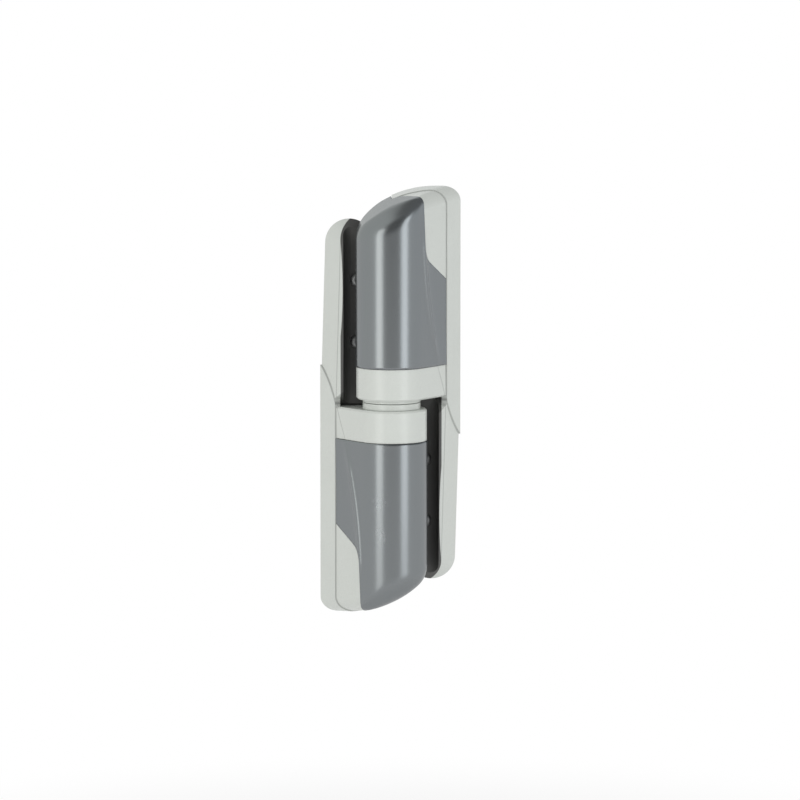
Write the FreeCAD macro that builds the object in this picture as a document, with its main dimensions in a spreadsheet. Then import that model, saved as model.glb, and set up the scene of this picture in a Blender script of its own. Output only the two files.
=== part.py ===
"""Cold room door hinge, two like leaves on one pin, in millimetres.

X runs along the wall, +Y into the wall, +Z up the pin. The origin is the middle of the hinge axis.
The frame leaf is drawn here with its knuckle below; the door leaf is the same leaf turned half round Y.
"""
import FreeCAD, Part
import Sketcher
import os

SIZES = {
    # overall envelope of one knuckle
    "half_height": 125.0,
    "half_width": 41.0,
    "axis_depth": 22.0,
    "barrel_radius": 20.9,
    "back_gap": 0.75,
    "flank_secant": 1.2305,
    "flank_slope": 0.703,
    "end_lean_height": 121.2,
    "cheek_depth": 32.0,
    "dome_start": 98.0,
    "dome_rounding": 5.0,
    "end_flat": 26.0,
    "far_shoulder": 96.0,
    "far_nose_radius": 18.0,
    "end_corner_radius": 9.5,
    "dome_lead": 0.3,
    "reach": 12.0,
    # parting lines between base, body and cover
    "skin_step": 0.4,
    "cover_wall": 2.5,
    "seam_depth": 12.0,
    "seam_gap": 0.25,
    "collar_face": 2.9,
    "collar_end": 21.6,
    "collar_chamfer": 1.0,
    "wing_end": 71.5,
    "cheek_rise": 82.0,
    "cheek_rise_depth": 26.0,
    "cheek_top": 93.0,
    "far_split": 2.0,
    "swoosh_tip": 20.5,
    "swoosh_foot": 1.0,
    "crease_end": 88.0,
    "crease_depth": 0.8,
    "web_edge": 29.6,
    "web_foot": 8.0,
    # thin half: rim, liner plate and the clearance for the other barrel
    "rim_foot": 40.8,
    "rim_head": 38.0,
    "rim_root": 6.0,
    "rim_height": 16.6,
    "rim_taper": 35.7,
    "tip_height": 106.0,
    "tip_radius": 14.0,
    "tip_slope_end": 78.0,
    "liner_edge": 29.4,
    "liner_bulge_height": 76.0,
    "liner_turn_height": 94.0,
    "liner_tip_edge": 22.5,
    "liner_lip": 4.5,
    "floor_thickness": 3.8,
    "liner_floor": 6.0,
    "cove_radius": 5.0,
    "cove_wall": 27.8,
    "leaf_inner_edge": 9.0,
    "sweep_radius": 21.5,
    # knuckle core and bearing
    "tube_radius": 14.5,
    "tube_end": 104.0,
    "ledge_edge": 27.5,
    "ledge_thickness": 2.0,
    "pin_radius": 6.0,
    "pin_bottom": 92.0,
    "pin_top": 88.0,
    "pin_chamfer": 1.5,
    "bush_radius": 9.0,
    "bush_clearance": 0.05,
    "bush_length": 34.0,
    "upper_bush_start": 56.0,
    "upper_bush_end": 86.0,
    "bush_bore_end": 92.0,
    "ring_radius": 16.8,
    "ring_top": 0.8,
    "thrust_gap": 0.3,
    # fasteners and fixing holes
    "fixing_radius": 3.25,
    "fixing_head_radius": 6.5,
    "knuckle_fixing_x": 24.0,
    "knuckle_fixing_top": 29.0,
    "knuckle_fixing_pitch": 35.0,
    "screw_x": 20.0,
    "screw_low": 34.5,
    "screw_pitch": 36.1,
    "screw_head_radius": 3.75,
    "screw_head_height": 2.5,
    "screw_crown_radius": 1.2,
    "screw_rim": 0.5,
    "screw_radius": 2.0,
    "screw_end_depth": 0.8,
    "insert_radius": 3.4,
    "base_screw_x": 20.0,
    "base_screw_low": 104.0,
    "base_screw_pitch": 92.0,
    "base_screw_head_radius": 4.0,
    "base_screw_head_depth": 1.0,
    "base_screw_head_height": 2.4,
    "base_screw_end_depth": 20.0,
    "lock_screw_radius": 2.5,
    "lock_screw_height": 12.0,
    "lock_screw_length": 12.0,
}
WALL = "Sizes.axis_depth"
NEAR = 0.01
EDGE_SAMPLES = 7
DOOR_TURN = FreeCAD.Rotation(FreeCAD.Vector(0, 1, 0), 180)

doc = FreeCAD.newDocument("ColdRoomHinge")


def make_sheet():
    """Write the driving dimensions, one alias a row."""
    sheet = doc.addObject("Spreadsheet::Sheet", "Sizes")
    for row, (alias, value) in enumerate(SIZES.items(), start=1):
        sheet.set(f"A{row}", alias)
        sheet.set(f"B{row}", str(value))
        sheet.setAlias(f"B{row}", alias)
    doc.recompute()


def bind(item, expressions):
    """Bind properties of one object to the sheet."""
    for name, text in expressions.items():
        item.setExpression(name, text)


def new_sketch(body, name, role, offset=None):
    """Open a sketch on one of the body's own origin planes, moved along its normal by offset."""
    sketch = body.newObject("Sketcher::SketchObject", name)
    plane = next(item for item in body.Origin.OriginFeatures if item.Role == role)
    sketch.AttachmentSupport = [(plane, "")]
    sketch.MapMode = "FlatFace"
    if offset:
        sketch.setExpression("AttachmentOffset.Base.z", offset)
    return sketch


def value_of(item, entry):
    """Read a size: text is an expression on the sheet, a number is a first guess."""
    if isinstance(entry, str):
        return float(item.evalExpression(entry))
    return float(entry)


def bind_datum(sketch, text, kind, *places):
    """Add one driving dimension and bind it to the sheet."""
    index = sketch.addConstraint(Sketcher.Constraint(kind, *places, value_of(sketch, text)))
    sketch.setExpression(f"Constraints[{index}]", text)


def draw(sketch, corners, arcs=None, smooth=(), closed=True):
    """Draw an outline or an open path through the corners, with lines or arcs between them.

    A text coordinate is bound to the sheet and a number is left to the other constraints. arcs gives,
    for the edge that leaves a corner, a point that it passes and its radius or None. smooth names the
    corners where two edges run on without a kink. The list of (edge, end) at each corner comes back.
    """
    arcs = arcs or {}
    count = len(corners)
    points = [FreeCAD.Vector(value_of(sketch, x), value_of(sketch, y), 0) for x, y in corners]
    heads = []
    tails = []
    for i, start in enumerate(points if closed else points[:-1]):
        end = points[(i + 1) % count]
        if i in arcs:
            middle = FreeCAD.Vector(*arcs[i][0], 0)
            edge = sketch.addGeometry(Part.Arc(start, middle, end))
        else:
            edge = sketch.addGeometry(Part.LineSegment(start, end))
        forward = (sketch.getPoint(edge, 1) - start).Length < (sketch.getPoint(edge, 2) - start).Length
        heads.append((edge, 1 if forward else 2))
        tails.append((edge, 2 if forward else 1))
    for i in range(0 if closed else 1, len(heads)):
        kind = "Tangent" if i in smooth else "Coincident"
        sketch.addConstraint(Sketcher.Constraint(kind, *tails[i - 1], *heads[i]))
    ends = heads if closed else heads + tails[-1:]
    for head, corner in zip(ends, corners):
        for kind, entry in zip(("DistanceX", "DistanceY"), corner):
            if isinstance(entry, str):
                bind_datum(sketch, entry, kind, *head)
    for i, (_, radius) in arcs.items():
        if radius:
            bind_datum(sketch, radius, "Radius", heads[i][0])
    return ends


def level_with_centre(sketch, head, arc_edge, kind):
    """Hold an arc's centre level with ("Horizontal") or under ("Vertical") one of its ends."""
    sketch.addConstraint(Sketcher.Constraint(kind, *head, arc_edge, 3))


def pad(body, sketch, length, symmetric=False, reverse=False):
    """Extrude a sketch by a bound length."""
    feature = body.newObject("PartDesign::Pad", f"{body.Name}_pad")
    feature.Profile = sketch
    feature.setExpression("Length", length)
    feature.Midplane = symmetric
    feature.Reversed = reverse
    sketch.Visibility = False
    return feature


def work_edges(kind, body, name, size, test):
    """Fillet or chamfer the edges of a body whose points all pass a test."""
    doc.recompute()
    base = body.Tip
    names = []
    for index, edge in enumerate(base.Shape.Edges, start=1):
        if all(test(point) for point in edge.discretize(EDGE_SAMPLES)):
            names.append(f"Edge{index}")
    feature = body.newObject(f"PartDesign::{kind}", name)
    feature.Base = (base, names)
    feature.setExpression("Radius" if kind == "Fillet" else "Size", size)


def new_body(name):
    """Start a part design body."""
    return doc.addObject("PartDesign::Body", name)


def region(name, role, corners, arcs=None, smooth=(), length="4 * Sizes.half_width"):
    """Make a straight prism from one outline, used to part the pieces from each other."""
    body = new_body(name)
    sketch = new_sketch(body, f"{name}_outline", role)
    draw(sketch, corners, arcs, smooth)
    pad(body, sketch, length, symmetric=True)
    return body


def box(name, low, high):
    """Make a bound box from its low and high corners, each three expressions."""
    item = doc.addObject("Part::Box", name)
    for side, axis, start, end in zip(("Length", "Width", "Height"), "xyz", low, high):
        bind(item, {side: f"({end}) - ({start})", f"Placement.Base.{axis}": start})
    return item


def cylinder(name, radius, length, base, direction=(0, 0, 1)):
    """Make a bound cylinder that starts at base and runs along direction."""
    item = doc.addObject("Part::Cylinder", name)
    turn = FreeCAD.Rotation(FreeCAD.Vector(0, 0, 1), FreeCAD.Vector(*direction))
    item.Placement = FreeCAD.Placement(FreeCAD.Vector(), turn)
    bind(item, {"Radius": radius, "Height": length})
    bind(item, {f"Placement.Base.{axis}": text for axis, text in zip("xyz", base)})
    return item


def combine(kind, name, first, *others):
    """Cut, fuse or intersect document objects, one after the other."""
    item = first
    for step, other in enumerate(others, start=1):
        last = step == len(others)
        joined = doc.addObject(f"Part::{kind}", name if last else f"{name}_step{step}")
        joined.Base = item
        joined.Tool = other
        if kind != "Common":
            joined.Refine = True
        item = joined
    return item


def turned(name, corners):
    """Revolve an outline of (radius, height) corners round Z."""
    body = new_body(name)
    sketch = new_sketch(body, f"{name}_profile", "XZ_Plane")
    draw(sketch, corners)
    feature = body.newObject("PartDesign::Revolution", f"{name}_turn")
    feature.Profile = sketch
    feature.ReferenceAxis = (sketch, ["V_Axis"])
    feature.Angle = 360
    return body


def group(name, item, places):
    """Repeat one small piece at several places as one group of separate solids."""
    copies = []
    for index, place in enumerate(places):
        copy = doc.addObject("App::Link", f"{name}_{index + 1}")
        copy.LinkedObject = item
        copy.LinkTransform = False
        copy.Placement = FreeCAD.Placement(FreeCAD.Vector(), FreeCAD.Rotation(FreeCAD.Vector(1, 0, 0), 90))
        bind(copy, {f"Placement.Base.{axis}": text for axis, text in zip("xyz", place)})
        copies.append(copy)
    compound = doc.addObject("Part::Compound", name)
    compound.Links = copies
    return compound


def knuckle_form(name, inset, top):
    """Shape the whole knuckle: a barrel with a straight flank to the wall and a domed, leaning end.

    The plan outline is padded down the pin. The end is one surface: the side outline, a lean and an
    arc, carried along the front outline, a level line that bends down to the far side of the barrel.
    """
    body = new_body(name)
    radius = f"Sizes.barrel_radius - {inset}"
    end = f"Sizes.half_height - {inset}"
    plan = new_sketch(body, f"{name}_plan", "XY_Plane", top)
    corner = f"-(Sizes.half_width - {inset} * Sizes.flank_secant)"
    heads = draw(
        plan,
        [(corner, WALL), (-16.7, -12.0), ("-Sizes.back_gap", 20.0), ("-Sizes.back_gap", WALL)],
        arcs={1: ((20.0, 0.0), radius)},
        smooth=(1,),
    )
    plan.addConstraint(Sketcher.Constraint("Coincident", heads[1][0], 3, -1, 1))
    pad(body, plan, f"{end} + {top}", reverse=True)
    outside = "-Sizes.half_width - Sizes.reach"
    below = "-2 * Sizes.half_height"
    side = new_sketch(body, f"{name}_side", "YZ_Plane", outside)
    front_line = f"-({radius} + Sizes.dome_lead)"
    heads = draw(
        side,
        [
            (WALL, f"-({end})"),
            (f"-(Sizes.cheek_depth - {WALL})", f"-(Sizes.end_lean_height - {inset})"),
            (front_line, "-Sizes.dome_start"),
            (f"{front_line} - Sizes.reach", "-Sizes.dome_start"),
            (f"{front_line} - Sizes.reach", below),
            (WALL, below),
        ],
        arcs={1: ((-18.0, -111.0), None)},
    )
    level_with_centre(side, heads[2], heads[1][0], "Horizontal")
    front = new_sketch(body, f"{name}_front", "XZ_Plane")
    heads = draw(
        front,
        [
            (outside, f"-({end})"),
            ("-Sizes.end_flat", f"-({end})"),
            (10.0, -115.0),
            (f"{radius} + Sizes.dome_lead", "-Sizes.far_shoulder"),
        ],
        arcs={1: ((-7.0, -122.5), None), 2: ((17.5, -107.0), "Sizes.far_nose_radius")},
        smooth=(1, 2),
        closed=False,
    )
    level_with_centre(front, heads[3], heads[2][0], "Horizontal")
    feature = body.newObject("PartDesign::SubtractivePipe", f"{name}_end")
    feature.Profile = side
    feature.Spine = front
    feature.Mode = "Fixed"
    doc.recompute()
    return body


def on_barrel(inset):
    """Test for points on the barrel's surface."""
    radius = SIZES["barrel_radius"] - inset
    return lambda point: abs(FreeCAD.Vector(point.x, point.y, 0).Length - radius) < NEAR


def corner_cutter(name, inset):
    """Cut-away that rounds the edge between flank and end: a wedge along it, less the round.

    The wedge's outline joins the round's axis to its two lines of touch and to the sharp edge.
    """
    edge = f"-(Sizes.half_width - {inset} * Sizes.flank_secant)"
    end = f"-(Sizes.half_height - {inset})"
    bend = "Sizes.end_corner_radius"
    slant = "sqrt(1 + Sizes.flank_slope ^ 2)"
    lean = "((Sizes.half_height - Sizes.end_lean_height) / Sizes.cheek_depth)"
    tilt = f"sqrt(1 + {lean} ^ 2)"
    middle = (f"{edge} + {bend} * {slant}", f"{end} + {bend} * {tilt}")
    touch_flank = f"{middle[1]} - {bend} * {lean} * Sizes.flank_slope / {slant}"
    touch_end = f"{middle[0]} - {bend} * {lean} * Sizes.flank_slope / {tilt}"
    wedge = new_body(f"{name}_wedge")
    sketch = new_sketch(wedge, f"{name}_outline", "XZ_Plane", f"-{WALL}")
    draw(sketch, [
        middle, (edge, touch_flank), (f"{edge} - Sizes.reach", touch_flank),
        (f"{edge} - Sizes.reach", f"{end} - Sizes.reach"), (touch_end, f"{end} - Sizes.reach"),
        (touch_end, end),
    ])
    rise = (SIZES["half_height"] - SIZES["end_lean_height"]) / SIZES["cheek_depth"]
    along = (SIZES["flank_slope"], -1, rise)
    feature = pad(wedge, sketch, "4 * Sizes.axis_depth")
    feature.UseCustomVector = True
    feature.Direction = FreeCAD.Vector(*along)
    start = (
        f"{middle[0]} - Sizes.reach * Sizes.flank_slope", f"{WALL} + Sizes.reach",
        f"{middle[1]} - Sizes.reach * {lean}")
    round_bar = cylinder(f"{name}_round", bend, "8 * Sizes.axis_depth", start, along)
    return combine("Cut", name, wedge, round_bar)


def knuckle(name, inset, top, *finishes):
    """The knuckle form with its edges finished and its outer end corner rounded."""
    form = knuckle_form(f"{name}_form", inset, top)
    for finish in finishes:
        finish(form)
    return combine("Cut", name, form, corner_cutter(f"{name}_corner", inset))


def round_dome(form, inset="0"):
    """Round the rim where the end surface meets the barrel."""
    barrel = on_barrel(value_of(form, inset))
    work_edges(
        "Fillet", form, f"{form.Name}_rim", f"Sizes.dome_rounding - {inset}",
        lambda point: barrel(point) and point.z < -SIZES["cheek_top"])


def ease_pale(form):
    """Round the pale form's rim and chamfer its collar's free edge on the barrel and the flank."""
    inset = SIZES["skin_step"]
    round_dome(form, "Sizes.skin_step")
    flank_edge = SIZES["half_width"] - inset * SIZES["flank_secant"]
    barrel = on_barrel(inset)

    def on_collar_edge(point):
        flank = point.x + flank_edge - SIZES["flank_slope"] * (SIZES["axis_depth"] - point.y)
        on_side = barrel(point) or abs(flank) < 2 * NEAR
        return on_side and abs(point.z + SIZES["collar_face"]) < NEAR

    work_edges("Chamfer", form, "collar_rim", "Sizes.collar_chamfer", on_collar_edge)


def wing_cutter(name, inset):
    """Shallow wedge behind the crease: level with the flank at the swoosh and deepest at the cheek."""
    body = new_body(f"{name}_wedge")
    edge = f"-(Sizes.half_width - {inset} * Sizes.flank_secant)"
    sketch = new_sketch(body, f"{name}_wedge_outline", "XZ_Plane", f"-{WALL}")
    draw(sketch, [
        (edge, "-Sizes.swoosh_foot"),
        (f"{edge} + Sizes.crease_depth * Sizes.flank_secant", "-Sizes.crease_end"),
        (f"{edge} - Sizes.reach", "-Sizes.crease_end"),
        (f"{edge} - Sizes.reach", "-Sizes.swoosh_foot"),
    ])
    feature = pad(body, sketch, "4 * Sizes.axis_depth")
    feature.UseCustomVector = True
    feature.Direction = FreeCAD.Vector(SIZES["flank_slope"], -1, 0)
    seam = f"{WALL} - Sizes.seam_depth"
    ledge = f"-(Sizes.cheek_depth - {WALL})"
    wing = region(
        f"{name}_outline",
        "YZ_Plane",
        [(seam, "-Sizes.swoosh_foot"), (ledge, "-Sizes.crease_end"), (WALL, "-Sizes.crease_end"),
         (WALL, "-Sizes.swoosh_foot")],
        arcs={0: ((-5.4, -52.0), None)},
    )
    return combine("Common", name, body, wing)


def cover_zone(name, gap):
    """Space that the dark cover takes: down to the seam, then rising over the pale cheek to the end."""
    seam = f"{WALL} - Sizes.seam_depth"
    ledge = f"-(Sizes.cheek_depth - {WALL}) + {gap}"
    below = "-(Sizes.half_height + Sizes.reach)"
    outside = "-(Sizes.barrel_radius + Sizes.reach)"
    collar = f"-Sizes.collar_end + {gap}"
    near = region(
        f"{name}_near",
        "YZ_Plane",
        [
            (seam, collar),
            (seam, f"-Sizes.wing_end - {gap}"),
            (f"{WALL} - Sizes.cheek_rise_depth + {gap}", "-Sizes.cheek_rise"),
            (ledge, "-Sizes.cheek_top"),
            (ledge, below),
            (outside, below),
            (outside, collar),
        ],
        arcs={2: ((-8.3, -87.0), None)},
        smooth=(3,),
    )
    far = box(
        f"{name}_far",
        (f"Sizes.far_split - {gap}", outside, below),
        ("Sizes.barrel_radius + Sizes.reach", f"{seam} + {gap}", collar),
    )
    return combine("Fuse", name, near, far)


def rim_form():
    """Thin half as one tapered block: straight outer edge, rounded tip, sides leaning inwards."""
    body = new_body("rim_form")
    sketch = new_sketch(body, "rim_outline", "XZ_Plane", f"-{WALL}")
    heads = draw(
        sketch,
        [
            ("-Sizes.rim_foot", "-Sizes.rim_root"),
            ("-Sizes.rim_head", 92.0),
            (-14.6, 102.0),
            ("Sizes.reach", "Sizes.tip_slope_end"),
            ("Sizes.reach", "-Sizes.rim_root"),
        ],
        arcs={1: ((-24.5, 106.0), "Sizes.tip_radius")},
        smooth=(1, 2),
    )
    bind_datum(sketch, "Sizes.tip_height - Sizes.tip_radius", "DistanceY", heads[1][0], 3)
    feature = pad(body, sketch, "Sizes.rim_height")
    feature.setExpression("TaperAngle", "-Sizes.rim_taper")
    return body


def screw_places(x, first, pitch, depth):
    """Places of two like fasteners, one pitch apart along the leaf."""
    return [(f"-{x}", depth, first), (f"-{x}", depth, f"{first} + {pitch}")]


def holes(name, radius, places, length):
    """Round holes that run from their places towards the viewer."""
    drills = [
        cylinder(f"{name}_{index + 1}", radius, length, place, (0, -1, 0))
        for index, place in enumerate(places)
    ]
    return combine("Fuse", name, *drills)


def half_turn(item, name):
    """Repeat a piece of the frame leaf on the door leaf, turned half round Y."""
    link = doc.addObject("App::Link", name)
    link.LinkedObject = item
    link.LinkTransform = False
    link.Placement = FreeCAD.Placement(FreeCAD.Vector(), DOOR_TURN)
    return link


def make_fasteners():
    """Domed plate screws, their hexagon inserts and the sunk base screws, each drawn along +Z."""
    head = "Sizes.screw_head_radius"
    tall = "Sizes.screw_head_height"
    shank = "-(Sizes.liner_floor - Sizes.screw_end_depth)"
    crown = "Sizes.screw_crown_radius"
    plate_screw = turned("plate_screw", [
        (0.0, shank), ("Sizes.screw_radius", shank), ("Sizes.screw_radius", 0.0), (head, 0.0),
        (head, "Sizes.screw_rim"), (crown, tall), (0.0, tall),
    ])
    insert_length = "Sizes.floor_thickness - Sizes.screw_end_depth"
    hexagon = doc.addObject("Part::Prism", "insert_hexagon")
    hexagon.Polygon = 6
    foot = f"-({insert_length})"
    bind(hexagon, {
        "Circumradius": "Sizes.insert_radius", "Height": insert_length, "Placement.Base.z": foot})
    thread = cylinder("insert_thread", "Sizes.screw_radius", insert_length, ("0", "0", foot))
    insert = combine("Cut", "plate_insert", hexagon, thread)
    outer_face = "Sizes.base_screw_head_depth"
    seat = f"{outer_face} + Sizes.base_screw_head_height"
    base_screw = turned("base_screw", [
        (0.0, outer_face), ("Sizes.base_screw_head_radius", outer_face),
        ("Sizes.base_screw_head_radius", seat), ("Sizes.screw_radius", seat),
        ("Sizes.screw_radius", "Sizes.base_screw_end_depth"), (0.0, "Sizes.base_screw_end_depth"),
    ])
    plate_places = screw_places(
        "Sizes.screw_x", "Sizes.screw_low", "Sizes.screw_pitch", f"{WALL} - Sizes.liner_floor")
    insert_places = screw_places(
        "Sizes.screw_x", "Sizes.screw_low", "Sizes.screw_pitch", f"{WALL} - Sizes.floor_thickness")
    base_places = screw_places(
        "Sizes.base_screw_x", "-Sizes.base_screw_low", "Sizes.base_screw_pitch", WALL)
    return {
        "plate_screws": group("frame_plate_screws", plate_screw, plate_places),
        "plate_inserts": group("frame_plate_inserts", insert, insert_places),
        "base_screws": group("frame_base_screws", base_screw, base_places),
        "base_places": base_places,
    }


def make_leaf():
    """The pieces that both leaves share, drawn on the frame leaf."""
    fasteners = make_fasteners()
    outer = knuckle("outer", "0", "Sizes.swoosh_tip", round_dome)
    pale = knuckle("pale", "Sizes.skin_step", "-Sizes.collar_face", ease_pale)
    inner = knuckle("inner", "Sizes.cover_wall", "Sizes.swoosh_tip")
    below = "-(Sizes.half_height + Sizes.reach)"
    seam = f"{WALL} - Sizes.seam_depth"
    base_zone = region(
        "base_zone",
        "YZ_Plane",
        [
            (WALL, "Sizes.swoosh_tip"),
            (seam, "-Sizes.swoosh_foot"),
            (seam, below),
            (f"{WALL} + Sizes.reach", below),
            (f"{WALL} + Sizes.reach", "Sizes.swoosh_tip"),
        ],
        arcs={0: ((15.3, 11.0), None)},
    )
    near_side = box(
        "near_side",
        ("-2 * Sizes.half_width", "-2 * Sizes.half_width", below),
        ("-Sizes.back_gap", "2 * Sizes.half_width", "Sizes.half_height"),
    )
    web = box(
        "web",
        ("-Sizes.web_edge", "-2 * Sizes.half_width", "-Sizes.web_foot"),
        ("2 * Sizes.half_width", "2 * Sizes.half_width", "Sizes.half_height"),
    )
    base_flank = combine("Common", "base_flank", base_zone, near_side)
    base_block = combine("Cut", "base_block", base_flank, web)
    knuckle_places = screw_places(
        "Sizes.knuckle_fixing_x", "-Sizes.knuckle_fixing_top - Sizes.knuckle_fixing_pitch",
        "Sizes.knuckle_fixing_pitch", WALL)
    seat_places = [(x, f"{y} - Sizes.seam_depth", z) for x, y, z in knuckle_places]
    knuckle_holes = holes("knuckle_holes", "Sizes.fixing_radius", knuckle_places, "2 * Sizes.seam_depth")
    knuckle_seats = holes("knuckle_seats", "Sizes.fixing_head_radius", seat_places, "Sizes.axis_depth")
    access = holes(
        "base_screw_access", "Sizes.base_screw_head_radius", fasteners["base_places"],
        "Sizes.base_screw_head_depth")
    tube_length = "Sizes.tube_end - Sizes.collar_face"
    tube = cylinder("tube", "Sizes.tube_radius", tube_length, ("0", "0", "-Sizes.tube_end"))
    saddle = cylinder(
        "saddle", "Sizes.tube_radius", "Sizes.tube_end + Sizes.half_height", ("0", "0", "-Sizes.tube_end"))

    base_blank = combine("Common", "base_blank", outer, base_block)
    base = combine(
        "Cut", "frame_base", base_blank, saddle, knuckle_holes, access, fasteners["base_screws"])

    shell = combine("Cut", "cover_shell", outer, inner, wing_cutter("cover_wing", "0"))
    cover = combine("Common", "frame_cover", shell, cover_zone("cover_space", "0"))

    rim = rim_form()
    liner_zone = region(
        "liner_zone",
        "XZ_Plane",
        [
            ("-Sizes.liner_edge", "-Sizes.collar_face"),
            ("-Sizes.liner_edge", "Sizes.liner_bulge_height / 2"),
            ("-Sizes.liner_edge", "Sizes.liner_turn_height"),
            ("-Sizes.liner_tip_edge", "Sizes.tip_height + Sizes.back_gap"),
            ("Sizes.reach", "Sizes.tip_height + Sizes.back_gap"),
            ("Sizes.reach", "-Sizes.collar_face"),
        ],
        arcs={1: ((-28.2, 70.0), None), 2: ((-27.4, 101.5), None)},
    )
    above_floor = box(
        "above_floor",
        ("-2 * Sizes.half_width", f"-{WALL}", "-Sizes.collar_face"),
        ("Sizes.half_width", f"{WALL} - Sizes.floor_thickness", "Sizes.half_height"),
    )
    past_edge = box(
        "past_edge",
        ("-Sizes.leaf_inner_edge", "-2 * Sizes.half_width", "-2 * Sizes.rim_root"),
        ("Sizes.half_width", "2 * Sizes.half_width", "Sizes.half_height"),
    )
    sweep = cylinder(
        "sweep", "Sizes.sweep_radius", "2 * Sizes.half_height", ("0", "0", "-2 * Sizes.rim_root"))
    tip_lip = box(
        "tip_lip",
        ("-2 * Sizes.half_width", f"-{WALL}", "Sizes.tip_height - Sizes.liner_lip"),
        ("Sizes.half_width", WALL, "Sizes.half_height"),
    )
    liner_depth = combine("Fuse", "liner_depth", above_floor, tip_lip)
    liner_space = combine("Common", "liner_space", liner_zone, liner_depth)
    cove = region(
        "cove",
        "XY_Plane",
        [
            ("-Sizes.cove_wall", f"{WALL} - Sizes.liner_floor - Sizes.cove_radius"),
            ("-Sizes.cove_wall + Sizes.cove_radius", f"{WALL} - Sizes.liner_floor"),
            ("Sizes.reach", f"{WALL} - Sizes.liner_floor"),
            ("Sizes.reach", f"-{WALL}"),
            ("-Sizes.cove_wall", f"-{WALL}"),
        ],
        arcs={0: ((-25.7, 14.5), "Sizes.cove_radius")},
        length="4 * Sizes.half_height",
    )
    plate_blank = combine("Common", "plate_blank", rim, liner_space)
    plate = combine(
        "Cut", "frame_plate", plate_blank, cove, sweep, past_edge, fasteners["plate_screws"])
    thin_half = combine("Cut", "thin_half", rim, liner_space, past_edge, sweep)

    cover_pocket = cover_zone("cover_pocket", "Sizes.seam_gap")
    past_collar = box(
        "past_collar",
        ("-2 * Sizes.half_width", "-2 * Sizes.half_width", below),
        ("2 * Sizes.half_width", "2 * Sizes.half_width", "-Sizes.collar_end"),
    )
    collar_wing = combine("Cut", "collar_wing", wing_cutter("pale_wing", "Sizes.skin_step"), past_collar)
    knuckle_blank = combine("Cut", "knuckle_blank", pale, base_block, cover_pocket, collar_wing)
    ledge = box(
        "ledge",
        ("-Sizes.ledge_edge", f"{seam} - Sizes.ledge_thickness", "-Sizes.cheek_rise"),
        ("-Sizes.back_gap", seam, "-Sizes.collar_end + Sizes.seam_gap"),
    )
    base_space = combine("Cut", "base_space", base_block, saddle)
    casting_blank = combine("Fuse", "casting_blank", knuckle_blank, tube, ledge, thin_half)
    casting = combine(
        "Cut", "casting", casting_blank, base_space, knuckle_seats,
        fasteners["plate_screws"], fasteners["plate_inserts"], fasteners["base_screws"])
    return {
        "base": base, "cover": cover, "plate": plate, "casting": casting,
        "plate_screws": fasteners["plate_screws"], "plate_inserts": fasteners["plate_inserts"],
        "base_screws": fasteners["base_screws"],
    }


def make_bearing():
    """Pin, bearing ring, flanged bush and upper bush on the hinge axis."""
    pin = "Sizes.pin_radius"
    slim = f"{pin} - Sizes.pin_chamfer"
    turned("hinge_pin", [
        (0.0, "-Sizes.pin_bottom"), (slim, "-Sizes.pin_bottom"),
        (pin, "-Sizes.pin_bottom + Sizes.pin_chamfer"), (pin, "Sizes.pin_top - Sizes.pin_chamfer"),
        (slim, "Sizes.pin_top"), (0.0, "Sizes.pin_top"),
    ])
    turned("bearing_ring", [
        (pin, "-Sizes.collar_face"), ("Sizes.ring_radius", "-Sizes.collar_face"),
        ("Sizes.ring_radius", "Sizes.ring_top"), (pin, "Sizes.ring_top"),
    ])
    running = f"{pin} + Sizes.bush_clearance"
    flange = "Sizes.ring_top + Sizes.thrust_gap"
    turned("door_flanged_bush", [
        (running, flange), ("Sizes.ring_radius", flange), ("Sizes.ring_radius", "Sizes.collar_face"),
        ("Sizes.bush_radius", "Sizes.collar_face"), ("Sizes.bush_radius", "Sizes.bush_length"),
        (running, "Sizes.bush_length"),
    ])
    turned("door_upper_bush", [
        (running, "Sizes.upper_bush_start"), ("Sizes.bush_radius", "Sizes.upper_bush_start"),
        ("Sizes.bush_radius", "Sizes.upper_bush_end"), (running, "Sizes.upper_bush_end"),
    ])


def make_bodies(casting):
    """Bore the casting for the pin on the frame leaf and for the bushes on the door leaf."""
    pin_bore = cylinder(
        "pin_bore", "Sizes.pin_radius", "Sizes.pin_bottom", ("0", "0", "-Sizes.pin_bottom"))
    aside = "Sizes.pin_radius * cos(45 deg)"
    lock_base = (aside, aside, "-Sizes.lock_screw_height")
    lock_hole = cylinder(
        "lock_hole", "Sizes.lock_screw_radius", "Sizes.barrel_radius", lock_base, (1, 1, 0))
    lock_screw = cylinder(
        "pin_lock_blank", "Sizes.lock_screw_radius", "Sizes.lock_screw_length", lock_base, (1, 1, 0))
    combine("Cut", "pin_lock_screw", lock_screw, doc.getObject("hinge_pin"))
    combine("Cut", "frame_body", casting, pin_bore, lock_hole)
    bush_bore = cylinder(
        "bush_bore", "Sizes.bush_radius", "Sizes.bush_bore_end", ("0", "0", "0"))
    combine("Cut", "door_body", half_turn(casting, "door_casting"), bush_bore)


def write_parts(names):
    """Check every object, then write each sub-part to its own file."""
    doc.recompute()
    failed = [f"{item.Name}: {item.getStatusString()}" for item in doc.Objects
              if {"Invalid", "Error"} & set(item.State)]
    if failed:
        raise RuntimeError(f"failed objects: {failed}")
    os.makedirs("parts", exist_ok=True)
    for name in names:
        item = doc.getObject(name)
        item.Label = name
        shape = Part.getShape(item)
        if shape.isNull() or not shape.isValid():
            raise RuntimeError(f"{name} has no valid shape")
        shape.exportStep(f"parts/{name}.step")


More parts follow.
